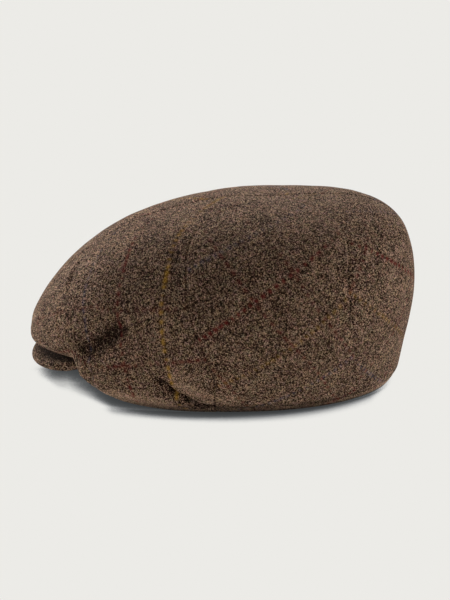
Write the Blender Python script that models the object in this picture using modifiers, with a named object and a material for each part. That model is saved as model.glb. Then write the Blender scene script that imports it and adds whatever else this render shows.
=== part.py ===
"""Flat cap of brown tweed: a crown sewn from six cloth panels over a padded peak.

Metres, +Z up. The front of the cap faces -Y, the wearer's left is +X, and the hem rests on z = 0.
"""
import math

import bmesh
import bpy
from mathutils import Vector

# Crown
CROWN_FRONT = 0.131          # origin to the front of the crown, where it hangs over the peak
CROWN_BACK = 0.1312          # origin to the back of the crown
CROWN_HALF_WIDTH = 0.106
CROWN_HEIGHT = 0.127
APEX_SET_BACK = 0.036        # the point where the panels meet, behind the origin
CLOTH = 0.0024               # tweed with its seam allowance and backing
SEAM_GAP = 0.0004            # clearance between neighbouring panels
SEAM_PUFF = 0.0014           # how far a panel swells out between its seams
APEX_CLEAR = 0.0014          # radius left free where the panel tips meet

# Hem, the opening for the head
HEM_FRONT = 0.121
HEM_BACK = 0.1185
HEM_HALF_WIDTH = 0.082
HEM_BACK_LIFT = 0.0018       # how far the hem arches off the surface behind
HEM_TRIM = 0.0016            # cloth cut off flat at the surface that the cap rests on

# Peak
PEAK_LIFT = 0.0242           # height of its top where the front of the hem is sewn on
PEAK_OVERLAP = 0.0105        # how far it shows ahead of the hem
PEAK_CORNER_ANGLE = 34.0     # place on the hem, in degrees from the front, where it runs in under the crown
PEAK_THICKNESS = 0.0060
PEAK_DEPTH = 0.041           # lip to root along the centre line
PEAK_ROOT_REACH = 0.019      # how far the root curves forward in the middle
PEAK_SLOPE = math.radians(15)
PEAK_ARCH = 0.0060           # drop of the two corners below the middle
PEAK_CLEAR = 0.0007          # air between the peak and the hem above it
PEAK_ROUNDING = 0.0027

# Rings from the apex to the hem. front, back and half are shares of the crown's reaches and half
# width. The three heights are shares of the way from the hem up to the crown's height. hem is how far
# the ring has drawn in to the hem. middle is where the ring is widest, as a share of the crown's back.
# A squareness of 2 is a round ring.
RINGS = [
    # t,     front,  back,  half,  z_front, z_side, z_back, hem, middle, squareness in front and behind
    (0.000, -0.275, 0.275, 0.000, 1.000, 1.000, 1.000, 0.00, 0.275, 2.00, 2.00),
    (0.150, -0.023, 0.500, 0.290, 0.989, 0.984, 0.999, 0.00, 0.255, 2.00, 2.00),
    (0.300, 0.232, 0.733, 0.574, 0.926, 0.924, 0.976, 0.00, 0.235, 2.04, 2.04),
    (0.430, 0.447, 0.898, 0.790, 0.836, 0.815, 0.884, 0.00, 0.205, 2.08, 2.06),
    (0.550, 0.627, 0.970, 0.932, 0.710, 0.671, 0.722, 0.00, 0.175, 2.12, 2.06),
    (0.660, 0.781, 0.990, 0.993, 0.558, 0.503, 0.530, 0.00, 0.145, 2.16, 2.06),
    (0.760, 0.897, 0.972, 0.982, 0.388, 0.347, 0.362, 0.00, 0.125, 2.18, 2.04),
    (0.860, 0.981, 0.940, 0.920, 0.208, 0.195, 0.208, 0.00, 0.115, 2.20, 2.02),
    (0.935, 1.000, 0.922, 0.848, 0.082, 0.083, 0.090, 0.00, 0.115, 2.20, 2.00),
    (0.975, 1.015, 0.917, 0.806, 0.024, 0.032, 0.034, 0.35, 0.115, 2.20, 2.00),
    (1.000, 1.000, 0.900, 0.780, 0.000, 0.000, 0.000, 1.00, 0.115, 2.20, 2.00),
]

# How far the hem has come down from the peak to the surface that the cap rests on.
HEM_DROP = [
    # angle from the front, share of the way down
    (0.0, 0.00), (30.0, 0.00), (37.0, 0.00), (40.0, 0.24), (43.0, 0.56), (48.0, 0.74), (56.0, 0.89),
    (66.0, 0.97), (76.0, 1.00), (180.0, 1.00),
]

# Seams as angles from the front at shares of the way from the apex to the hem.
SEAM_SHARES = (0.0, 0.3, 0.55, 0.8, 1.0)
CENTRE_FRONT = (0.0, 0.0, 0.0, 0.0, 0.0)
FRONT_SEAM = (44.0, 44.0, 61.5, 79.0, 81.5)
BACK_SEAM = (132.0, 127.0, 119.0, 125.5, 132.5)
CENTRE_BACK = (180.0, 180.0, 180.0, 180.0, 180.0)

# Dents and folds, each along a line between two places on the crown. side is 1 for the wearer's left,
# 0 for both sides; width and depth are shares of the crown's half width.
FOLDS = [
    # side, angle_a, t_a, angle_b, t_b, width, depth
    (0, 52.0, 0.80, 39.0, 0.91, 0.075, 0.028),
    (1, 29.0, 0.62, 58.0, 0.51, 0.130, 0.018),
    (1, 66.0, 0.86, 80.0, 0.95, 0.060, 0.016),
]

PANEL_ROWS = 24
PANELS = [
    # name, seam towards the front, seam towards the back, columns
    ("panel_front", CENTRE_FRONT, FRONT_SEAM, 15),
    ("panel_side", FRONT_SEAM, BACK_SEAM, 10),
    ("panel_back", BACK_SEAM, CENTRE_BACK, 8),
]

TWEED = (0.085, 0.066, 0.052, 1.0)
PEAK_TWEED = (0.074, 0.057, 0.045, 1.0)
ROUGHNESS = 0.95


def clear_scene():
    for item in list(bpy.data.objects):
        bpy.data.objects.remove(item, do_unlink=True)


def make_collection(name):
    collection = bpy.data.collections.new(name)
    bpy.context.scene.collection.children.link(collection)
    return collection


def smooth_lookup(rows, place, column):
    """Value of a column at a place, on a curve that passes through every row."""
    last = len(rows) - 1
    k = 0
    while k < last - 1 and place > rows[k + 1][0]:
        k += 1
    before, here, there, after = rows[max(k - 1, 0)], rows[k], rows[k + 1], rows[min(k + 2, last)]
    span = there[0] - here[0]
    s = min(max((place - here[0]) / span, 0.0), 1.0)
    slope_here = (there[column] - before[column]) / (there[0] - before[0])
    slope_there = (after[column] - here[column]) / (after[0] - here[0])
    return ((2 * s**3 - 3 * s**2 + 1) * here[column] + (s**3 - 2 * s**2 + s) * span * slope_here
            + (3 * s**2 - 2 * s**3) * there[column] + (s**3 - s**2) * span * slope_there)


def ease(value):
    value = min(max(value, 0.0), 1.0)
    return value * value * (3.0 - 2.0 * value)


def mix(a, b, share):
    return a + (b - a) * share


def ring_sizes(t):
    """Front and back reach, half width, widest place and both squarenesses of the ring at t."""
    front, back, half, hem, middle, square_front, square_back = (
        smooth_lookup(RINGS, t, c) for c in (1, 2, 3, 7, 8, 9, 10))
    hem = min(max(hem, 0.0), 1.0)
    shift = (1.0 - t) ** 2 * (APEX_SET_BACK - RINGS[0][2] * CROWN_BACK)
    return (mix(front * CROWN_FRONT, HEM_FRONT, hem) - shift,
            mix(back * CROWN_BACK, HEM_BACK, hem) + shift,
            mix(half * CROWN_HALF_WIDTH, HEM_HALF_WIDTH, hem),
            middle * CROWN_BACK + shift, square_front, square_back)


def ring_place(angle, t):
    """Distance to the left and along the cap of the ring at t, at an angle in degrees from the front."""
    front, back, half, middle, square_front, square_back = ring_sizes(t)
    turn = math.radians(angle)
    power = square_front if angle <= 90.0 else square_back
    across = half * max(math.sin(turn), 0.0) ** (2.0 / power)
    along = abs(math.cos(turn)) ** (2.0 / power)
    return across, middle - (middle + front) * along if angle <= 90.0 else middle + (back - middle) * along


def peak_corner():
    return ring_place(PEAK_CORNER_ANGLE, 1.0)


def peak_top(x, y):
    """Height of the peak's upper face, which the front of the hem follows."""
    slope = (y + HEM_FRONT) * math.tan(PEAK_SLOPE)
    return PEAK_LIFT + slope - PEAK_ARCH * (x / peak_corner()[0]) ** 4


def ring_height(angle, t):
    z_front, z_side, z_back = (smooth_lookup(RINGS, t, c) for c in (4, 5, 6))
    along = math.cos(math.radians(angle)) ** 2
    if angle > 90.0:
        return mix(z_side, z_back, along) * CROWN_HEIGHT + along**2 * (1.0 - z_back) * HEM_BACK_LIFT
    over_peak = peak_top(*ring_place(min(angle, 50.0), 1.0)) + PEAK_CLEAR
    drop = min(max(smooth_lookup(HEM_DROP, angle, 1), 0.0), 1.0)
    weight = mix(along, 1.0 - drop, ease((t - 0.55) / 0.4))
    return mix(z_side * CROWN_HEIGHT, over_peak + z_front * (CROWN_HEIGHT - over_peak), weight)


def bare_crown(angle, t):
    """Point on the smooth crown, on the wearer's left, before seams and folds."""
    x, y = ring_place(angle, t)
    trim = HEM_TRIM * ease((t - 0.975) / 0.025) * ease((angle - 66.0) / 12.0) * ease((134.0 - angle) / 16.0)
    return Vector((x, y, ring_height(angle, t) - trim))


def crown_normal(angle, t):
    step, step_t = 0.5, 0.004
    low, high = max(t - step_t, 0.0), min(t + step_t, 1.0)
    left, right = max(angle - step, 0.0), min(angle + step, 180.0)
    round_ring = bare_crown(right, t) - bare_crown(left, t)
    down = bare_crown(angle, high) - bare_crown(angle, low)
    return down.cross(round_ring).normalized() if round_ring.length * down.length > 0.0 else Vector((0, 0, 1))


def fold_depth(point, side):
    """How far the folds push a point of the crown in."""
    total = 0.0
    for fold_side, angle_a, t_a, angle_b, t_b, width, depth in FOLDS:
        if fold_side not in (0, side):
            continue
        start, end = bare_crown(angle_a, t_a), bare_crown(angle_b, t_b)
        run = end - start
        along = min(max((point - start).dot(run) / run.length_squared, 0.0), 1.0)
        away = (point - start - run * along).length / (width * CROWN_HALF_WIDTH)
        total += depth * CROWN_HALF_WIDTH * math.exp(-away * away)
    return total


def seam_angle(seam, t):
    return smooth_lookup(list(zip(SEAM_SHARES, seam)), t, 1)


def crown_point(angle, t, share, side):
    """Point on the outside of a panel; share runs 0 to 1 from seam to seam."""
    bare = bare_crown(angle, t)
    swell = SEAM_PUFF * (1.0 - abs(2.0 * share - 1.0) ** 4) * ease(t / 0.25) * ease((1.0 - t) / 0.06)
    point = bare + crown_normal(angle, t) * (swell - fold_depth(bare, side))
    return Vector((point.x * side, point.y, point.z))


def panel_edges(front_seam, back_seam, t):
    """Angles of a panel's two edges at t, each half a seam gap short of its seam."""
    edges = []
    for seam, inward in ((front_seam, 1.0), (back_seam, -1.0)):
        angle = seam_angle(seam, t)
        near = min(max(angle + inward, 0.0), 180.0)
        per_degree = (bare_crown(near, t) - bare_crown(angle, t)).length
        edges.append(angle + inward * 0.5 * SEAM_GAP / max(per_degree, 1e-7))
    return edges


def tip_share():
    """Where the panels' tips are cut so that they leave a small free circle at the apex."""
    first_ring, radius = RINGS[1][0], RINGS[1][3] * CROWN_HALF_WIDTH
    return first_ring * APEX_CLEAR / radius


def cloth_material(name, colour):
    material = bpy.data.materials.new(name)
    material.use_nodes = True
    shader = material.node_tree.nodes["Principled BSDF"]
    shader.inputs["Base Color"].default_value = colour
    shader.inputs["Roughness"].default_value = ROUGHNESS
    shader.inputs["Metallic"].default_value = 0.0
    return material


def make_object(name, bm, collection, material):
    mesh = bpy.data.meshes.new(name)
    bm.to_mesh(mesh)
    bm.free()
    mesh.materials.append(material)
    mesh.shade_smooth()
    item = bpy.data.objects.new(name, mesh)
    collection.objects.link(item)
    return item


def make_floor_cutter(collection):
    """Box under the cap, whose top trims the hem flat at z = 0."""
    bm = bmesh.new()
    bmesh.ops.create_cube(bm, size=1.0)
    reach = 3.0 * max(CROWN_FRONT, CROWN_BACK, CROWN_HALF_WIDTH)
    bmesh.ops.scale(bm, vec=(reach, reach, CROWN_HEIGHT), verts=bm.verts)
    bmesh.ops.translate(bm, vec=(0.0, 0.0, -0.5 * CROWN_HEIGHT), verts=bm.verts)
    mesh = bpy.data.meshes.new("floor_cutter")
    bm.to_mesh(mesh)
    bm.free()
    cutter = bpy.data.objects.new("floor_cutter", mesh)
    collection.objects.link(cutter)
    cutter.hide_render = True
    cutter.display_type = "WIRE"
    return cutter


def make_panel(name, front_seam, back_seam, columns, side, cutter, collection):
    """One cloth panel from the apex to the hem, as an open surface thickened inwards."""
    bm = bmesh.new()
    bmesh.ops.create_grid(bm, x_segments=columns, y_segments=PANEL_ROWS, size=0.5)
    tip = tip_share()
    for vert in bm.verts:
        share, t = vert.co.x + 0.5, mix(tip, 1.0, vert.co.y + 0.5)
        first, last = panel_edges(front_seam, back_seam, t)
        vert.co = crown_point(mix(first, last, share), t, share, side)
    if side > 0:
        bmesh.ops.reverse_faces(bm, faces=bm.faces)
    suffix = "left" if side > 0 else "right"
    panel = make_object(f"{name}_{suffix}", bm, collection, cloth_material(f"{name}_{suffix}_tweed", TWEED))
    shell = panel.modifiers.new("cloth", "SOLIDIFY")
    shell.thickness = CLOTH
    shell.offset = -1.0
    trim = panel.modifiers.new("flat hem", "BOOLEAN")
    trim.operation = "DIFFERENCE"
    trim.object = cutter
    return panel


def peak_point(turn, share):
    """Middle of the peak's thickness; turn runs round the lip, share from the root to the lip."""
    corner_x, corner_y = peak_corner()
    lip = -HEM_FRONT - PEAK_OVERLAP
    root = lip + PEAK_DEPTH
    root_corner_x, root_corner_y = 0.93 * corner_x, root + PEAK_ROOT_REACH
    x = mix(root_corner_x, corner_x, share) * math.sin(turn)
    y = mix(mix(root_corner_y, root, math.cos(turn)), mix(corner_y, lip, math.cos(turn)), share)
    return Vector((x, y, peak_top(x, y) - 0.5 * PEAK_THICKNESS / math.cos(PEAK_SLOPE)))


def make_peak(collection):
    """Crescent plate that slopes down to its padded, rounded lip."""
    bm = bmesh.new()
    bmesh.ops.create_grid(bm, x_segments=22, y_segments=7, size=0.5)
    for vert in bm.verts:
        vert.co = peak_point(vert.co.x * math.pi, vert.co.y + 0.5)
    bmesh.ops.reverse_faces(bm, faces=bm.faces)
    peak = make_object("peak", bm, collection, cloth_material("peak_tweed", PEAK_TWEED))
    plate = peak.modifiers.new("padded plate", "SOLIDIFY")
    plate.thickness = PEAK_THICKNESS
    plate.offset = 0.0
    edge = peak.modifiers.new("rounded lip", "BEVEL")
    edge.width = min(PEAK_ROUNDING, 0.46 * PEAK_THICKNESS)
    edge.segments = 3
    edge.limit_method = "ANGLE"
    edge.angle_limit = math.radians(50)
    return peak


def main():
    clear_scene()
    cap = make_collection("flat_cap")
    cutters = make_collection("cutters")
    cutter = make_floor_cutter(cutters)
    for name, front_seam, back_seam, columns in PANELS:
        for side in (1, -1):
            make_panel(name, front_seam, back_seam, columns, side, cutter, cap)
    make_peak(cap)


main()
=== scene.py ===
"""Looks of a brown tweed flat cap: a crown of six sewn cloth panels over a padded peak.

Metres, +Z up. The front of the cap faces -Y, the wearer's left is +X, and the hem rests on z = 0. A place
on the crown is an angle round it, in degrees from the front, and t, the share of the way from the apex to
the hem.
"""
import functools
import math

import bmesh
import bpy
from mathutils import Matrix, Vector, noise


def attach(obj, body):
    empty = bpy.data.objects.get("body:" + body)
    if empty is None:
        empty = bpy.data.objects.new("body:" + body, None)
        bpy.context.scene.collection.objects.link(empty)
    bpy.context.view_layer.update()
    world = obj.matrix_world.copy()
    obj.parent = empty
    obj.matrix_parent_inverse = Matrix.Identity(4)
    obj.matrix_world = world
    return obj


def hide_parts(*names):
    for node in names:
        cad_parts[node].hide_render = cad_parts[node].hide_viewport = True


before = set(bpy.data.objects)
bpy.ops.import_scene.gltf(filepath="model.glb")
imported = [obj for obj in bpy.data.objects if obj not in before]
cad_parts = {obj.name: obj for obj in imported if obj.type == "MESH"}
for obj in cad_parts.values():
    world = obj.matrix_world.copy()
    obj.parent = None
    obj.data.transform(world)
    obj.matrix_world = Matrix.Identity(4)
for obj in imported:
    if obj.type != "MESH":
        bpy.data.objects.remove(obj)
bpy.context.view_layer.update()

MM = 0.001

# Crown and hem, as in the CAD part
CROWN_FRONT = 0.131          # origin to the front of the crown, where it hangs over the peak
CROWN_BACK = 0.1312          # origin to the back of the crown
CROWN_HALF_WIDTH = 0.106
CROWN_HEIGHT = 0.127
APEX_SET_BACK = 0.036        # the point where the panels meet, behind the origin
HEM_FRONT = 0.121
HEM_BACK = 0.1185
HEM_HALF_WIDTH = 0.082
HEM_BACK_LIFT = 0.0018       # how far the hem arches off the surface behind

# Cloth and seams
CLOTH = 0.0022               # thickness of the tweed
APEX_CLEAR = 0.0005          # radius left free where the panel tips meet
SEAM_PUFF = 0.0014           # how far a panel swells out between its seams
SEAM_PUFF_LOSS = 0.18        # share of that swelling that is gone beside a seam
SEAM_GROOVE_WIDTH = 0.0008
CENTRE_SEAM_DEPTH = 0.0004   # how deep the seams down the middle are pressed in
SIDE_SEAM_DEPTH_TOP = 0.00028
SIDE_SEAM_DEPTH_FRONT = 0.0008
SIDE_SEAM_DEPTH_BACK = 0.00044
CENTRE_SEAM_ZONE = 20.0      # degrees from the middle in which a centre seam is the nearest
SIDE_PANEL_MIDDLE = 100.0    # angle between the front and the back seam of the side panel

# Turned hem
HEM_LINE = 0.0052            # where the turned hem ends, above its edge
HEM_LINE_WIDEST = 0.0165     # the same beside the peak, where the hem is turned wider
HEM_LINE_DEPTH = 0.0009
HEM_LINE_WIDTH = 0.0009
HEM_TURN_DEPTH = 0.0011      # how far the cloth rounds in at the hem's edge
HEM_TURN_WIDTH = 0.0012
HEM_QUIET = 0.012            # height above the hem from which the cloth is fully uneven

# Peak. It is thicker and less arched than in the CAD part, with more air above it, so that its padded lip
# looks round under a dark gap
PEAK_LIFT = 0.0242           # height of its top where the front of the hem is sewn on
PEAK_OVERLAP = 0.0105        # how far it shows ahead of the hem
PEAK_CORNER_ANGLE = 34.0     # place on the hem where it runs in under the crown
PEAK_THICKNESS = 0.0072
PEAK_CORNER_FULLNESS = 0.68  # share of that thickness at the two corners
PEAK_DEPTH = 0.041           # lip to root along the centre line
PEAK_ROOT_REACH = 0.019      # how far the root curves forward in the middle
PEAK_ROOT_WIDTH = 0.93       # width of the root as a share of the width at the corners
PEAK_SLOPE = math.radians(15)
PEAK_ARCH = 0.0034           # drop of the two corners below the middle
PEAK_CLEAR = 0.0014          # air between the peak and the hem above it
PEAK_LIP_ROUNDING = 0.62     # length of the round lip as a share of the thickness
PEAK_COLUMNS = 150
PEAK_ROWS = 44
PEAK_ROW_CROWDING = 1.8      # above 1, so that the rows stand closer together at the lip
PEAK_PAINTED_SHADE_INSIDE = -0.9      # painted shade in the dark gap under the crown, on the scale given below
# Painted shade on the lip, which the crown overhangs
PEAK_PAINTED_SHADE_LIP = -0.2

# Rings from the apex to the hem. front, back and half are shares of the crown's reaches and half width. The
# three heights are shares of the way from the hem up to the crown's height. hem is how far the ring has
# drawn in to the hem. middle is where the ring is widest, as a share of the crown's back. A squareness of 2
# is a round ring. The front is a little higher above the hem than in the CAD part, to open the dark gap
# over the peak.
RINGS = [
    # t,     front,  back,  half,  z_front, z_side, z_back, hem, middle, squareness in front and behind
    (0.000, -0.275, 0.275, 0.000, 1.000, 1.000, 1.000, 0.00, 0.275, 2.00, 2.00),
    (0.150, -0.023, 0.500, 0.290, 0.989, 0.984, 0.999, 0.00, 0.255, 2.00, 2.00),
    (0.300, 0.232, 0.733, 0.574, 0.926, 0.924, 0.976, 0.00, 0.235, 2.04, 2.04),
    (0.430, 0.447, 0.898, 0.790, 0.836, 0.815, 0.884, 0.00, 0.205, 2.08, 2.06),
    (0.550, 0.627, 0.970, 0.932, 0.710, 0.671, 0.722, 0.00, 0.175, 2.12, 2.06),
    (0.660, 0.781, 0.990, 0.993, 0.558, 0.503, 0.530, 0.00, 0.145, 2.16, 2.06),
    (0.760, 0.897, 0.972, 0.982, 0.388, 0.347, 0.362, 0.00, 0.125, 2.18, 2.04),
    (0.860, 0.981, 0.940, 0.920, 0.208, 0.195, 0.208, 0.00, 0.115, 2.20, 2.02),
    (0.935, 1.000, 0.922, 0.848, 0.100, 0.083, 0.090, 0.00, 0.115, 2.20, 2.00),
    (0.975, 1.015, 0.917, 0.806, 0.044, 0.032, 0.034, 0.35, 0.115, 2.20, 2.00),
    (1.000, 1.000, 0.900, 0.780, 0.000, 0.000, 0.000, 1.00, 0.115, 2.20, 2.00),
]

# How far the hem has come down from the peak to the surface that the cap rests on
HEM_DROP = [
    # angle, share of the way down
    (0.0, 0.00), (30.0, 0.00), (37.0, 0.00), (40.0, 0.24), (43.0, 0.56), (48.0, 0.74), (56.0, 0.89),
    (66.0, 0.97), (76.0, 1.00), (180.0, 1.00),
]

HEM_DROP_START = 0.55        # t from which the crown's front follows the hem's drop
HEM_DROP_RUN = 0.4           # how much farther down it follows it fully
PEAK_HOLDS_TO = 50.0         # angle up to which the hem's height follows the peak

# Seams, as angles at five values of t
SEAM_PLACES = (0.0, 0.3, 0.55, 0.8, 1.0)
CENTRE_FRONT = (0.0, 0.0, 0.0, 0.0, 0.0)
FRONT_SEAM = (44.0, 44.0, 61.5, 79.0, 81.5)
BACK_SEAM = (132.0, 127.0, 119.0, 125.5, 132.5)
CENTRE_BACK = (180.0, 180.0, 180.0, 180.0, 180.0)

# Creases, dents and ridges that the cloth has taken, each along a short run of places on the crown
CREASES = [
    # side (0 is both), depth in mm (below 0 for a ridge), width in mm, places as (angle, t)
    (0, 5.2, 6.5, ((50.0, 0.70), (45.5, 0.775), (42.5, 0.83), (40.0, 0.885))),
    (0, -1.7, 3.2, ((42.5, 0.86), (42.0, 0.90), (41.5, 0.94), (41.5, 0.97))),
    (0, 1.4, 2.2, ((46.5, 0.87), (45.0, 0.91), (45.0, 0.95), (46.0, 0.975))),
    (1, 1.7, 15.0, ((29.5, 0.62), (44.0, 0.56), (59.0, 0.50))),
    (1, 5.6, 2.3, ((65.0, 0.85), (67.5, 0.868), (70.5, 0.90), (73.0, 0.915), (77.0, 0.950), (82.0, 0.966))),
    (1, -2.4, 5.5, ((67.5, 0.80), (73.0, 0.85), (79.0, 0.895), (88.0, 0.925))),
    (1, -0.9, 2.2, ((3.0, 0.62), (8.0, 0.66), (12.0, 0.69), (16.0, 0.72))),
    (1, 0.9, 2.2, ((6.5, 0.62), (11.5, 0.66), (15.5, 0.69), (19.5, 0.72))),
    (-1, 1.6, 14.0, ((34.0, 0.55), (50.0, 0.60), (66.0, 0.58))),
    (-1, 3.0, 2.8, ((58.0, 0.89), (64.0, 0.925), (72.0, 0.955), (84.0, 0.968))),
    (-1, 1.2, 13.0, ((120.0, 0.60), (133.0, 0.52), (146.0, 0.50))),
]
CREASE_REACH = 0.09          # farther than this from its middle, a crease is not felt
CREASE_END = 0.25            # share of its depth, before easing, that a crease has at its ends
CREASE_FADE = 0.22           # share of its length along which that grows to nearly the full depth

# Slow waves of pressed and steamed cloth
WAVES = [
    # waves per metre, height, place in the noise
    (26.0, 0.00062, (3.1, 7.7, 1.3)),
    (75.0, 0.00020, (9.4, 2.2, 5.8)),
]

# Stretches of the hem, as angles: start, length of the rise, end, length of the fall
WIDE_HEM = (45.0, 9.0, 76.0, 10.0)
# Stretch where the hem is paler still, from rubbing and painted light
RUBBED_AND_LIT_HEM = (38.0, 8.0, 112.0, 22.0)

# How the cloth is drawn, on a scale where 0 is even: above it the hem is paler from rubbing and with painted
# light; below it is painted shade in folds, seams and the hem line
HEM_RUBBING_AND_LIGHT = 0.95
HEM_RUBBING_AND_LIGHT_REACH = 0.88         # share of the turned hem that is paler from rubbing and painted light
HEM_LINE_SHADE = 0.7
HEM_LINE_SHADE_WIDTH = 0.0008
SEAM_SHADE = 250.0           # for each metre that the seam is deep
SEAM_SHADE_WIDTH = 0.0009
CREASE_SHADE_DEPTH = 0.0075  # depth of a crease that looks fully dark
SHADING_AND_RUBBING_LOWEST = -1.0
SHADING_AND_RUBBING_HIGHEST = 0.58

PANELS = [
    # name, seam towards the front, seam towards the back, columns
    ("panel_front", CENTRE_FRONT, FRONT_SEAM, 96),
    ("panel_side", FRONT_SEAM, BACK_SEAM, 84),
    ("panel_back", BACK_SEAM, CENTRE_BACK, 84),
]
PANEL_ROWS = 168
COLUMN_CROWDING = 0.115      # how much closer the columns stand beside the seams
ROW_SPREAD = 0.045           # how much wider apart the rows stand near the hem

# How the cloth's warp and weft lie on a panel, laid so that the coloured lines run where they show in the
# photograph. The place in the cloth, in mm, is a * across + b * down + offset + bend * term / 100, where
# the term is across * down for "twist", or the square of across or down.
CLOTH_LAY = {
    # panel: (a, b, offset, bend, term) for the warp, then for the weft
    "panel_front": ((0.61, -0.51, 60.9, 0.31, "twist"), (0.42, 1.06, -95.1, -0.14, "across")),
    "panel_side": ((0.55, 0.30, -60.2, 0.21, "down"), (0.65, -0.60, 153.3, 0.28, "twist")),
    "panel_back": ((-0.50, 0.79, -87.8, 0.22, "across"), (0.92, 0.88, -50.5, 0.00, "across")),
}
MIRRORED_SHIFT = 11.0        # mm by which the pattern of the right-hand panels is moved
FAINT_ON_TOP = 0.45          # how much of the coloured lines shows on top of the photographed side

# Floor. Its shadow is drawn from how much sky each spot sees
SHADOW_REACH = 0.15                 # farther away than this, the cap takes no sky from a spot
SHADOW_LEAN = (0.20, 0.15, 0.97)    # middle of the sky that a spot looks at, towards the camera and the back
SHADOW_TONES = [
    # share of the sky that is seen, colour
    (0.00, "#1c1e1f"), (0.29, "#3e4041"), (0.40, "#4e5051"), (0.44, "#5f6162"), (0.50, "#949596"),
    (0.55, "#d2d2d0"), (0.60, "#ecebe7"),
]
STUDIO_PAPER = "#ecebe7"
FLOOR_RADIUS = 8.0

# Light and camera, as directions in degrees. Azimuth 0 is in front of the cap, 90 on the wearer's left
LIGHTS = [
    # name, azimuth, elevation, strength, width
    ("soft box over the far side", 270.0, 34.0, 1.9, 30.0),
    ("soft box behind the cap", 195.0, 20.0, 2.3, 34.0),
    ("soft box before the peak", 326.0, 14.0, 3.9, 34.0),
    ("key light over the near side", 105.0, 42.0, 0.4, 16.0),
]
WORLD_STRENGTH = 0.15
CAMERA_AZIMUTH = 86.0
CAMERA_ELEVATION = 16.0
CAMERA_DISTANCE = 1.35
CAMERA_TARGET = (0.0, 0.0015, 0.0535)
CAMERA_LENS = 117.7          # mm, on a sensor 36 mm wide


def ease(value):
    """0 up to 0, 1 from 1 on, and a smooth rise between them."""
    value = min(max(value, 0.0), 1.0)
    return value * value * (3.0 - 2.0 * value)


def mix(a, b, share):
    return a + (b - a) * share


def near(distance, width):
    """1 at the place itself, fading to nothing at about twice the width."""
    return math.exp(-(distance / width) ** 2)


def stretch(value, start, rise, end, fall):
    """1 between start and end and 0 outside, with soft flanks."""
    return ease((value - start) / rise) * ease((end - value) / fall)


def smooth_lookup(rows, place, column):
    """Value of a column at a place, on a curve that passes through every row."""
    last = len(rows) - 1
    k = 0
    while k < last - 1 and place > rows[k + 1][0]:
        k += 1
    before, here, there, after = rows[max(k - 1, 0)], rows[k], rows[k + 1], rows[min(k + 2, last)]
    span = there[0] - here[0]
    s = min(max((place - here[0]) / span, 0.0), 1.0)
    slope_here = (there[column] - before[column]) / (there[0] - before[0])
    slope_there = (after[column] - here[column]) / (after[0] - here[0])
    return ((2 * s**3 - 3 * s**2 + 1) * here[column] + (s**3 - 2 * s**2 + s) * span * slope_here
            + (3 * s**2 - 2 * s**3) * there[column] + (s**3 - s**2) * span * slope_there)


@functools.lru_cache(maxsize=None)
def ring_sizes(t):
    """Front and back reach, half width, widest place and both squarenesses of the ring at t."""
    front, back, half, hem, middle, square_front, square_back = (
        smooth_lookup(RINGS, t, c) for c in (1, 2, 3, 7, 8, 9, 10))
    hem = min(max(hem, 0.0), 1.0)
    shift = (1.0 - t) ** 2 * (APEX_SET_BACK - RINGS[0][2] * CROWN_BACK)
    return (mix(front * CROWN_FRONT, HEM_FRONT, hem) - shift,
            mix(back * CROWN_BACK, HEM_BACK, hem) + shift,
            mix(half * CROWN_HALF_WIDTH, HEM_HALF_WIDTH, hem),
            middle * CROWN_BACK + shift, square_front, square_back)


@functools.lru_cache(maxsize=None)
def ring_heights(t):
    """Heights of the ring at t in front, at the side and behind, as shares."""
    return tuple(smooth_lookup(RINGS, t, c) for c in (4, 5, 6))


def ring_place(angle, t):
    """Where the ring at t passes an angle, seen from above."""
    front, back, half, middle, square_front, square_back = ring_sizes(t)
    turn = math.radians(angle)
    power = square_front if angle <= 90.0 else square_back
    across = half * max(math.sin(turn), 0.0) ** (2.0 / power)
    along = abs(math.cos(turn)) ** (2.0 / power)
    return across, middle - (middle + front) * along if angle <= 90.0 else middle + (back - middle) * along


@functools.lru_cache(maxsize=None)
def peak_corner():
    return ring_place(PEAK_CORNER_ANGLE, 1.0)


def peak_top(x, y):
    """Height of the peak's upper face, which the front of the hem follows."""
    slope = (y + HEM_FRONT) * math.tan(PEAK_SLOPE)
    return PEAK_LIFT + slope - PEAK_ARCH * (x / peak_corner()[0]) ** 4


def ring_height(angle, t):
    """Height of the ring at t. In front, the lowest rings follow the peak and then drop to the surface."""
    z_front, z_side, z_back = ring_heights(t)
    along = math.cos(math.radians(angle)) ** 2
    if angle > 90.0:
        return mix(z_side, z_back, along) * CROWN_HEIGHT + along**2 * (1.0 - z_back) * HEM_BACK_LIFT
    over_peak = peak_top(*ring_place(min(angle, PEAK_HOLDS_TO), 1.0)) + PEAK_CLEAR
    drop = min(max(smooth_lookup(HEM_DROP, angle, 1), 0.0), 1.0)
    weight = mix(along, 1.0 - drop, ease((t - HEM_DROP_START) / HEM_DROP_RUN))
    return mix(z_side * CROWN_HEIGHT, over_peak + z_front * (CROWN_HEIGHT - over_peak), weight)


def bare_crown(angle, t):
    """Point on the smooth crown, on the wearer's left, before seams and folds."""
    x, y = ring_place(angle, t)
    return Vector((x, y, ring_height(angle, t)))


def crown_normal(angle, t):
    """Direction straight out of the smooth crown, from places a little way off on each side."""
    step, step_t = 0.5, 0.004
    low, high = max(t - step_t, 0.0), min(t + step_t, 1.0)
    left, right = max(angle - step, 0.0), min(angle + step, 180.0)
    round_ring = bare_crown(right, t) - bare_crown(left, t)
    down = bare_crown(angle, high) - bare_crown(angle, low)
    if round_ring.length * down.length == 0.0:
        return Vector((0.0, 0.0, 1.0))
    return down.cross(round_ring).normalized()


def seam_angle(seam, t):
    """Angle of a seam at t."""
    return smooth_lookup(list(zip(SEAM_PLACES, seam)), t, 1)


@functools.lru_cache(maxsize=None)
def crease_path(places):
    return [bare_crown(angle, t) for angle, t in places]


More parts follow.
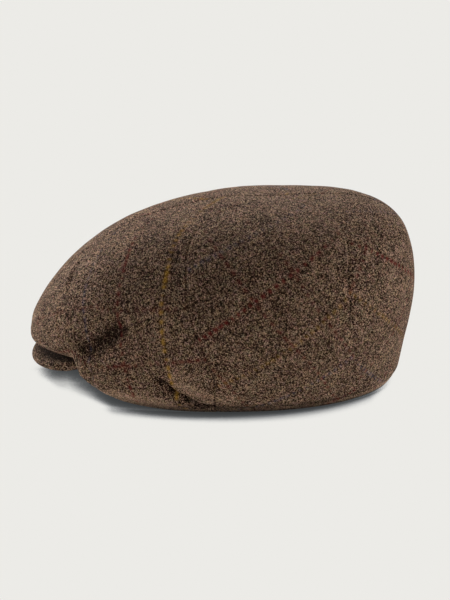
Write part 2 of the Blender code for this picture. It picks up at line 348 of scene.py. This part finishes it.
def crease_depth(point, side):
    """How far the creases push a point of the crown in. They are shallower at their two ends."""
    total = 0.0
    for crease_side, depth, width, places in CREASES:
        if crease_side not in (0, side):
            continue
        path = crease_path(places)
        if (point - path[len(path) // 2]).length > CREASE_REACH:
            continue
        nearest, place = 1.0, 0.0
        for k in range(len(path) - 1):
            run = path[k + 1] - path[k]
            along = min(max((point - path[k]).dot(run) / run.length_squared, 0.0), 1.0)
            away = (point - path[k] - run * along).length
            if away < nearest:
                nearest, place = away, (k + along) / (len(path) - 1)
        fade = ease(min(place, 1.0 - place) / CREASE_FADE + CREASE_END)
        total += MM * depth * fade * near(nearest, MM * width)
    return total


def hem_line_place(angle):
    """How far above the hem's edge the turned hem ends."""
    return mix(HEM_LINE, HEM_LINE_WIDEST, stretch(angle, *WIDE_HEM))


def find_painted_shading_and_rubbing(angle, from_seam, from_hem, folded, pressed):
    """How the cloth is drawn: paler at the hem from rubbing and painted light, with painted shade in the hem
    line, the seams and the creases. The distances and the depths of crease and seam are in metres.
    """
    hem_end = hem_line_place(angle)
    # Paler towards the hem's edge: rubbing, with painted light
    rubbing_and_painted_light = HEM_RUBBING_AND_LIGHT * math.exp(-(from_hem / (HEM_RUBBING_AND_LIGHT_REACH * hem_end)) ** 4)
    edge = rubbing_and_painted_light * (1.0 + stretch(angle, *RUBBED_AND_LIT_HEM))
    # Painted shade in the line of the turned hem, in the seams and in the creases, stronger where they are
    # deeper
    hem_line = HEM_LINE_SHADE * near(from_hem - hem_end, HEM_LINE_SHADE_WIDTH)
    seam = SEAM_SHADE * pressed * near(from_seam, SEAM_SHADE_WIDTH)
    painted_shading_and_rubbing = edge - hem_line - seam - folded / CREASE_SHADE_DEPTH
    return min(max(painted_shading_and_rubbing, SHADING_AND_RUBBING_LOWEST), SHADING_AND_RUBBING_HIGHEST)


def soft_unevenness(point):
    """How far the cloth stands out in its slow waves."""
    return sum(height * noise.noise(point * waves + Vector(place)) for waves, height, place in WAVES)


def puff(t, share):
    """How far a panel swells out: fully from a quarter of the way down until just above the hem."""
    beside_seam = SEAM_PUFF_LOSS * abs(2.0 * share - 1.0) ** 4
    return SEAM_PUFF * (1.0 - beside_seam) * ease(t / 0.25) * ease((1.0 - t) / 0.06)


def seam_depth(angle, t):
    """How deep the nearest seam is pressed in. The side seams are deeper in the lower half."""
    if min(angle, 180.0 - angle) < CENTRE_SEAM_ZONE:
        return CENTRE_SEAM_DEPTH
    low = SIDE_SEAM_DEPTH_FRONT if angle < SIDE_PANEL_MIDDLE else SIDE_SEAM_DEPTH_BACK
    return mix(SIDE_SEAM_DEPTH_TOP, low, ease((t - 0.25) / 0.35))


def crown_point(angle, t, share, from_seam, from_hem, side):
    """Point on the outside of a panel, and how the cloth is drawn there, with its rubbing and painted light
    and shade. share runs from seam to seam.
    """
    bare = bare_crown(angle, t)
    seam = seam_depth(angle, t)
    groove = seam * near(from_seam, SEAM_GROOVE_WIDTH)
    turned_hem = HEM_TURN_DEPTH * near(from_hem, HEM_TURN_WIDTH)
    hem_line = HEM_LINE_DEPTH * near(from_hem - hem_line_place(angle), HEM_LINE_WIDTH)
    crease = crease_depth(bare, side)
    rise = soft_unevenness(Vector((bare.x * side, bare.y, bare.z))) * ease(from_hem / HEM_QUIET)
    out = puff(t, share) + rise - groove - turned_hem - hem_line - crease
    point = bare + crown_normal(angle, t) * out
    on_or_over_floor = Vector((point.x * side, point.y, max(point.z, 0.0)))
    return on_or_over_floor, find_painted_shading_and_rubbing(angle, from_seam, from_hem, crease, seam)


def make_object(name, bm, materials):
    """Smooth-shaded object from a bmesh, at the origin."""
    mesh = bpy.data.meshes.new(name)
    bm.to_mesh(mesh)
    bm.free()
    for material in materials:
        mesh.materials.append(material)
    mesh.shade_smooth()
    item = bpy.data.objects.new(name, mesh)
    bpy.context.scene.collection.objects.link(item)
    return item


# Materials

def linear(hex_colour):
    """sRGB hex colour as linear RGBA."""
    channels = [int(hex_colour[i:i + 2], 16) / 255.0 for i in (1, 3, 5)]
    return (*(c / 12.92 if c <= 0.04045 else ((c + 0.055) / 1.055) ** 2.4 for c in channels), 1.0)


def add(tree, kind, inputs=None, **settings):
    """Adds a node with its settings. inputs gives values for its sockets, or outputs to link to them."""
    node = tree.nodes.new(kind)
    for name, value in settings.items():
        setattr(node, name, value)
    for key, value in (inputs or {}).items():
        if isinstance(value, bpy.types.NodeSocket):
            tree.links.new(value, node.inputs[key])
        else:
            node.inputs[key].default_value = value
    return node


def calculate(tree, operation, *values, **settings):
    """Output of a maths node on numbers and sockets."""
    return add(tree, "ShaderNodeMath", dict(enumerate(values)), operation=operation, **settings).outputs[0]


def mix_colours(tree, share, below, above, blend="MIX"):
    inputs = {0: share, 6: below, 7: above}
    return add(tree, "ShaderNodeMix", inputs, data_type="RGBA", blend_type=blend).outputs[2]


def mix_values(tree, share, a, b):
    return add(tree, "ShaderNodeMix", {0: share, 2: a, 3: b}).outputs[0]


def set_stops(ramp_node, stops):
    """Fills a colour ramp from (position, colour) pairs."""
    ramp = ramp_node.color_ramp
    while len(ramp.elements) > 1:
        ramp.elements.remove(ramp.elements[-1])
    ramp.elements[0].position, ramp.elements[0].color = stops[0]
    for position, colour in stops[1:]:
        ramp.elements.new(position).color = colour


# Tweed. The colours of its fibres, and the sizes of what the eye finds in it
DARK_FIBRE = "#150904"
PALE_FIBRE = "#bb997f"
# Darker fibres for the reverse in the hollow: painted shade
DARK_FIBRE_SHADED_INSIDE = "#120905"
PALE_FIBRE_SHADED_INSIDE = "#7d6450"
EDGE_GLOW = "#c8a98e"        # light that loose fibres catch at the edges
FLECK = 0.42                 # mm; real fibres are finer, and drawn as fine they wouldn't show
FIBRE = 0.55                 # mm, small clumps of fibres
HEATHER = 1.9                # mm, faint patches of other colours spun into the yarn
SLUB = 2.4                   # mm, thick places in the yarn
CLOUD = 14.0                 # mm, soft uneven patches from the milling

# Overcheck. Its coloured yarns, how well they show on each panel, and how its lines are drawn
WARP_YARNS = ("#651517", "#b0832c", "#4c5a7c") * 2      # red, gold and blue, in turn
WEFT_YARNS = ("#651517", "#a08574", "#651517") * 2      # red, tan and red, in turn
CHECKS = {
    # panel: how well each warp yarn shows, then each weft yarn, and how broken the lines look
    "panel_front": ((0.80, 0.84, 0.30, 0.60, 0.12, 0.30), (0.35, 0.50, 0.35, 0.65, 0.70, 0.60), 0.50),
    "panel_side": ((0.95, 0.32, 0.30, 0.80, 0.45, 0.32), (0.50, 0.50, 0.62, 0.50, 0.40, 0.60), 0.80),
    "panel_back": ((0.95, 0.32, 0.30, 0.80, 0.45, 0.35), (0.50, 0.40, 0.50, 0.60, 0.40, 0.50), 0.80),
}
LINE_SPACING = 36.0          # mm between neighbouring lines
LINE_WIDTH = 2.4             # mm; drawn coarser than two yarns are, as wide as the photograph shows them
LINE_SOFTNESS = 0.45         # share of the width over which a line's flanks fade
DOT_PITCH = 6.2              # mm from one float of the coloured yarn to the next
LINE_FADING = 0.045          # how often in a millimetre a line comes and goes
LINE_CONTRAST = 3.2          # with the level below, most of a line shows and some gaps are left
LINE_LEVEL = -1.1
WHOLE_PERIODS = 40.0         # keeps the place in the pattern above 0


def overcheck(tree, along, across, lines, broken, seed):
    """Colour, and how strongly it shows, of the coloured yarns that run one way through the cloth."""
    period = LINE_SPACING * len(lines)
    place = calculate(tree, "MULTIPLY_ADD", across, 1.0 / period, WHOLE_PERIODS + 0.5 / len(lines))
    ramp = add(tree, "ShaderNodeValToRGB", {0: calculate(tree, "FRACT", place)})
    half, soft = 0.5 * LINE_WIDTH / period, LINE_SOFTNESS * LINE_WIDTH / period
    stops = []
    for k, (colour, shows) in enumerate(lines):
        middle, rgb = (k + 0.5) / len(lines), linear(colour)[:3]
        stops += [(middle - half - soft, (*rgb, 0.0)), (middle - half + soft, (*rgb, shows)),
                  (middle + half - soft, (*rgb, shows)), (middle + half + soft, (*rgb, 0.0))]
    set_stops(ramp, stops)
    wave = calculate(tree, "SINE", calculate(tree, "MULTIPLY_ADD", along, 2.0 * math.pi / DOT_PITCH, seed))
    where = add(tree, "ShaderNodeCombineXYZ", {0: along, 1: across, 2: seed}).outputs[0]
    fading = add(tree, "ShaderNodeTexNoise", {"Vector": where, "Scale": LINE_FADING, "Detail": 1.0})
    level = calculate(tree, "MULTIPLY_ADD", fading.outputs[0], LINE_CONTRAST, LINE_LEVEL)
    shown = calculate(tree, "MULTIPLY_ADD", wave, broken, level)
    clipped = add(tree, "ShaderNodeClamp", {0: shown, 1: 0.0, 2: 1.0})
    return ramp.outputs["Color"], calculate(tree, "MULTIPLY", ramp.outputs["Alpha"], clipped.outputs[0])


def tweed(name, dark, light, check=None):
    """Wool tweed, woven from melange yarns and lightly milled: dull, with dark and pale fibres mixed in every
    yarn, so that it looks like salt and pepper from near and plain brown from far, with a soft pale edge."""
    material = bpy.data.materials.new(name)
    material.use_nodes = True
    tree = material.node_tree
    tree.nodes.clear()
    place = add(tree, "ShaderNodeTexCoord").outputs["Object"]

    def pattern(kind, size, **inputs):
        """Texture node with cells or waves of a size in mm."""
        return add(tree, kind, {"Vector": place, "Scale": 1.0 / (MM * size), **inputs})

    # Every yarn is a mix of dark and pale fibres. The shares are set to the photograph's grain
    flecks = pattern("ShaderNodeTexVoronoi", FLECK, Randomness=1.0)
    fleck = add(tree, "ShaderNodeSeparateColor", {0: flecks.outputs["Color"]}).outputs[0]
    fibres = pattern("ShaderNodeTexNoise", FIBRE, Detail=3.0, Roughness=0.75).outputs[0]
    slubs = pattern("ShaderNodeTexNoise", SLUB, Detail=2.0).outputs[0]
    clouds = pattern("ShaderNodeTexNoise", CLOUD, Detail=2.0).outputs[0]
    grain = calculate(tree, "MULTIPLY_ADD", fibres, 1.5, -0.25)
    melange = mix_values(tree, 0.30, fleck, grain)
    patchy = calculate(tree, "MULTIPLY_ADD", clouds, 0.20, -0.10)
    uneven = calculate(tree, "MULTIPLY_ADD", slubs, 0.30, -0.15)
    even = calculate(tree, "ADD", melange, calculate(tree, "ADD", patchy, uneven))
    # Painted shade in creases, seams, the hem line and the gap under the crown darkens the tone; the paler
    # hem, from rubbing and painted light, lightens it
    painted_shading_and_rubbing = add(tree, "ShaderNodeAttribute", attribute_name="painted_shading_and_rubbing").outputs["Fac"]
    tone = calculate(tree, "MULTIPLY_ADD", painted_shading_and_rubbing, 0.20, even)
    ramp = add(tree, "ShaderNodeValToRGB", {0: tone})
    dark_rgb, light_rgb = linear(dark), linear(light)
    middle = tuple(mix(a, b, 0.10) for a, b in zip(dark_rgb, light_rgb))
    set_stops(ramp, [(0.42, dark_rgb), (0.617, middle), (0.76, light_rgb)])

    # Heather colours, barely there, and the pale hem, from rubbing and painted light
    heather = pattern("ShaderNodeTexVoronoi", HEATHER).outputs["Color"]
    colour = mix_colours(tree, 0.12, ramp.outputs["Color"], heather, "SOFT_LIGHT")
    rubbing_and_painted_light = calculate(tree, "MULTIPLY", painted_shading_and_rubbing, 0.24, use_clamp=True)
    colour = mix_colours(tree, rubbing_and_painted_light, colour, light_rgb)

    # Coloured yarns of the overcheck, which share the light and dark of the fibres around them
    if check:
        warp_shows, weft_shows, broken = check
        shown = add(tree, "ShaderNodeAttribute", attribute_name="yarn_shows").outputs["Fac"]
        cloth = add(tree, "ShaderNodeUVMap", uv_map="cloth").outputs[0]
        in_mm = add(tree, "ShaderNodeVectorMath", {0: cloth, "Scale": 1.0 / MM}, operation="SCALE").outputs[0]
        axes = add(tree, "ShaderNodeSeparateXYZ", {0: in_mm}).outputs
        shade = calculate(tree, "MULTIPLY_ADD", tone, 0.9, 0.45)
        taken = calculate(tree, "MULTIPLY_ADD", fleck, 0.75, 0.35)
        for along, across, yarns, shows, seed in ((1, 0, WARP_YARNS, warp_shows, 1.7),
                                                  (0, 1, WEFT_YARNS, weft_shows, 4.1)):
            lines = list(zip(yarns, shows))
            yarn, strength = overcheck(tree, axes[along], axes[across], lines, broken, seed)
            shaded = mix_colours(tree, 1.0, yarn, shade, "MULTIPLY")
            broken_up = calculate(tree, "MULTIPLY", strength, taken)
            colour = mix_colours(tree, calculate(tree, "MULTIPLY", broken_up, shown), colour, shaded)

    height = mix_values(tree, 0.7, fleck, fibres)
    bump = add(tree, "ShaderNodeBump", {"Strength": 0.55, "Distance": 0.35 * MM, "Height": height})
    shader = add(tree, "ShaderNodeBsdfPrincipled", {
        "Base Color": colour, "Roughness": 0.95, "Specular IOR Level": 0.06, "Sheen Weight": 0.15,
        "Sheen Roughness": 0.18, "Sheen Tint": linear(EDGE_GLOW), "Normal": bump.outputs[0]})
    add(tree, "ShaderNodeOutputMaterial", {0: shader.outputs[0]})
    return material


crown_tweeds = {base: tweed(f"milled_wool_tweed_{base}", DARK_FIBRE, PALE_FIBRE, check)
                for base, check in CHECKS.items()}
# The reverse of the cloth lines the hollow. It is drawn darker and less contrasty than the face: painted
# shade, as the hollow lies in shade
shaded_inside_tweed = tweed("milled_wool_tweed_reverse_painted_shade", DARK_FIBRE_SHADED_INSIDE, PALE_FIBRE_SHADED_INSIDE)
# The same cloth as the crown's, drawn over the padding. No coloured line shows on it in the photograph
peak_cloth = tweed("milled_wool_tweed_on_peak", DARK_FIBRE, PALE_FIBRE)


# Crown

def cloth_place(base, across, down, mirrored):
    """Where a point lies in the cloth, warp and weft, in metres. across and down are in mm."""
    shift = MIRRORED_SHIFT if mirrored else 0.0
    found = []
    for a, b, offset, bend, term in CLOTH_LAY[base]:
        product = {"across": across * across, "twist": across * down, "down": down * down}[term]
        found.append(MM * (a * across + b * down + offset + bend * 0.01 * product + shift))
    return found


def crowded(share):
    """Shares from seam to seam that lie closer together beside the seams."""
    return share - COLUMN_CROWDING * math.sin(2.0 * math.pi * share)


def row_place(share, tip):
    """t of a row of the panel, from its share of the rows."""
    return mix(tip, 1.0, share + ROW_SPREAD * math.sin(2.0 * math.pi * share) * share)


def yarn_strength(t, side):
    """How well the coloured lines show: fully in the lower half, and on the wearer's right everywhere."""
    return mix(FAINT_ON_TOP, 1.0, ease((t - 0.30) / 0.22)) if side > 0 else 1.0


def make_panel(base, front_seam, back_seam, columns, side):
    """One cloth panel from the apex to the hem, as an open surface thickened inwards."""
    tip = RINGS[1][0] * APEX_CLEAR / (RINGS[1][3] * CROWN_HALF_WIDTH)
    bm = bmesh.new()
    bmesh.ops.create_grid(bm, x_segments=columns, y_segments=PANEL_ROWS, size=0.5)
    cloth = bm.loops.layers.uv.new("cloth")
    # Painted light and shade of the cloth, with its rubbing, for the material
    painted_shading_and_rubbing = bm.verts.layers.float.new("painted_shading_and_rubbing")
    yarn_shows = bm.verts.layers.float.new("yarn_shows")
    rows = {}
    for vert in bm.verts:
        rows.setdefault(round((vert.co.y + 0.5) * PANEL_ROWS), []).append((vert.co.x, vert))
    shares = [crowded(k / columns) for k in range(columns + 1)]
    hem_row = [bare_crown(mix(seam_angle(front_seam, 1.0), seam_angle(back_seam, 1.0), share), 1.0)
               for share in shares]
    laid = {}
    down, last_middle = 0.0, None
    for number in sorted(rows):
        row = [vert for _, vert in sorted(rows[number], key=lambda item: item[0])]
        t = row_place(number / PANEL_ROWS, tip)
        first, last = seam_angle(front_seam, t), seam_angle(back_seam, t)
        bare = [bare_crown(mix(first, last, share), t) for share in shares]
        widths = [0.0]
        for k in range(columns):
            widths.append(widths[-1] + (bare[k + 1] - bare[k]).length)
        middle = bare_crown(mix(first, last, 0.5), t)
        down += (middle - last_middle).length if last_middle else 0.0
        last_middle = middle
        for k, vert in enumerate(row):
            angle = mix(first, last, shares[k])
            from_seam = min(widths[k], widths[-1] - widths[k])
            from_hem = (bare[k] - hem_row[k]).length
            vert.co, vert[painted_shading_and_rubbing] = crown_point(angle, t, shares[k], from_seam, from_hem, side)
            vert[yarn_shows] = yarn_strength(t, side)
            across = widths[k] - 0.5 * widths[-1]
            laid[vert] = cloth_place(base, across / MM, down / MM, side < 0)
    for face in bm.faces:
        for loop in face.loops:
            loop[cloth].uv = laid[loop.vert]
    if side > 0:
        bmesh.ops.reverse_faces(bm, faces=bm.faces)
    name = f"{base}_{'left' if side > 0 else 'right'}"
    panel = make_object(f"{name}_cloth", bm, (crown_tweeds[base], shaded_inside_tweed))
    shell = panel.modifiers.new("cloth thickness", "SOLIDIFY")
    shell.thickness = CLOTH
    shell.offset = -1.0
    shell.material_offset = 1
    shell.material_offset_rim = 0
    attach(panel, "root")
    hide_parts(name)


for base, front_seam, back_seam, columns in PANELS:
    for side in (1, -1):
        make_panel(base, front_seam, back_seam, columns, side)


# Peak

def padding(turn):
    """Thickness of the padding, which thins out towards the two corners."""
    return PEAK_THICKNESS * mix(1.0, PEAK_CORNER_FULLNESS, (2.0 * turn / math.pi) ** 2)


def peak_point(turn, share):
    """Middle of the peak's thickness; turn runs round the lip, share from the root to the lip."""
    corner_x, corner_y = peak_corner()
    lip = -HEM_FRONT - PEAK_OVERLAP
    root = lip + PEAK_DEPTH
    root_corner_x, root_corner_y = PEAK_ROOT_WIDTH * corner_x, root + PEAK_ROOT_REACH
    x = mix(root_corner_x, corner_x, share) * math.sin(turn)
    y = mix(mix(root_corner_y, root, math.cos(turn)), mix(corner_y, lip, math.cos(turn)), share)
    return Vector((x, y, peak_top(x, y) - 0.5 * padding(turn) / math.cos(PEAK_SLOPE)))


def make_peak():
    """Crescent that slopes down to its padded lip, which is round from top to underside."""
    bm = bmesh.new()
    bmesh.ops.create_grid(bm, x_segments=PEAK_COLUMNS, y_segments=PEAK_ROWS, size=0.5)
    painted_shading_and_rubbing = bm.verts.layers.float.new("painted_shading_and_rubbing")
    fullness = []
    for vert in bm.verts:
        turn, share = vert.co.x * math.pi, 1.0 - (0.5 - vert.co.y) ** PEAK_ROW_CROWDING
        past_rounding = min((1.0 - share) * PEAK_DEPTH / (PEAK_LIP_ROUNDING * padding(turn)), 1.0)
        lip = max(math.sqrt(1.0 - (1.0 - past_rounding) ** 2), 0.02)
        fullness.append(padding(turn) / PEAK_THICKNESS * lip)
        # Painted shade under the crown: darkest in the gap, lighter towards the lip
        vert[painted_shading_and_rubbing] = mix(PEAK_PAINTED_SHADE_INSIDE, PEAK_PAINTED_SHADE_LIP, ease((share - 0.76) / 0.18))
        vert.co = peak_point(turn, share)
    bmesh.ops.reverse_faces(bm, faces=bm.faces)
    peak = make_object("peak_cover", bm, (peak_cloth,))
    group = peak.vertex_groups.new(name="fullness")
    for index, weight in enumerate(fullness):
        group.add([index], weight, "REPLACE")
    plate = peak.modifiers.new("padding", "SOLIDIFY")
    plate.thickness = PEAK_THICKNESS
    plate.offset = 0.0
    plate.vertex_group = "fullness"
    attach(peak, "root")
    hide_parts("peak")


make_peak()


# Floor, light and camera

def make_floor():
    """Seamless pale studio paper, evenly lit; it darkens only where the cap stands close over it."""
    bm = bmesh.new()
    bmesh.ops.create_circle(bm, cap_ends=True, segments=96, radius=FLOOR_RADIUS)
    material = bpy.data.materials.new("matt_studio_paper")
    material.use_nodes = True
    tree = material.node_tree
    tree.nodes.clear()
    leaning = add(tree, "ShaderNodeCombineXYZ", dict(enumerate(SHADOW_LEAN))).outputs[0]
    sky = add(tree, "ShaderNodeAmbientOcclusion", {"Distance": SHADOW_REACH, "Normal": leaning}, samples=32)
    place = add(tree, "ShaderNodeTexCoord").outputs["Object"]
    x, y, _ = add(tree, "ShaderNodeSeparateXYZ", {0: place}).outputs

    def change(value, start, end, low, high):
        """Goes from low to high while the value goes from start to end."""
        return add(tree, "ShaderNodeMapRange", {0: value, 1: start, 2: end, 3: low, 4: high}).outputs[0]

    # The photograph's shadow is paler behind the cap, and on the near side under the raised front of the hem
    behind = change(y, 0.095, 0.123, 1.0, 1.35)
    before = change(y, -0.078, -0.108, 0.0, 0.62)
    near_side = change(x, -0.020, 0.012, 0.0, 1.0)
    paler = calculate(tree, "MULTIPLY_ADD", before, near_side, behind)
    ramp = add(tree, "ShaderNodeValToRGB", {0: calculate(tree, "MULTIPLY", sky.outputs["AO"], paler)})
    set_stops(ramp, [(seen, linear(colour)) for seen, colour in SHADOW_TONES])
    glow = add(tree, "ShaderNodeEmission", {"Color": ramp.outputs["Color"], "Strength": 1.0})
    add(tree, "ShaderNodeOutputMaterial", {0: glow.outputs[0]})
    floor = make_object("studio_floor", bm, (material,))


def towards_cap(azimuth, elevation):
    """Direction in which one looks at the cap from a place round it."""
    a, e = math.radians(azimuth), math.radians(elevation)
    return Vector((-math.cos(e) * math.sin(a), math.cos(e) * math.cos(a), -math.sin(e)))


def aim(name, data, direction):
    """Object for a light or camera that points in a direction."""
    item = bpy.data.objects.new(name, data)
    item.rotation_euler = direction.to_track_quat("-Z", "Y").to_euler()
    bpy.context.scene.collection.objects.link(item)
    return item


def make_light(name, azimuth, elevation, strength, width):
    """Soft light from far away."""
    data = bpy.data.lights.new(name, "SUN")
    data.energy = strength
    data.angle = math.radians(width)
    aim(name, data, towards_cap(azimuth, elevation))


def make_world():
    """Faint, even light from a pale room."""
    world = bpy.data.worlds.new("pale studio")
    world.use_nodes = True
    background = world.node_tree.nodes["Background"]
    background.inputs["Color"].default_value = linear(STUDIO_PAPER)
    background.inputs["Strength"].default_value = WORLD_STRENGTH
    bpy.context.scene.world = world


def make_camera():
    """The photograph's view: from the wearer's left, a little from above."""
    data = bpy.data.cameras.new("camera")
    data.lens = CAMERA_LENS
    data.sensor_width = 36.0
    data.sensor_fit = "AUTO"
    direction = towards_cap(CAMERA_AZIMUTH, CAMERA_ELEVATION)
    camera = aim("camera", data, direction)
    camera.location = Vector(CAMERA_TARGET) - direction * CAMERA_DISTANCE
    bpy.context.scene.camera = camera


make_floor()
make_world()
for name, azimuth, elevation, strength, width in LIGHTS:
    make_light(name, azimuth, elevation, strength, width)
make_camera()
bpy.context.scene.view_settings.view_transform = "Standard"
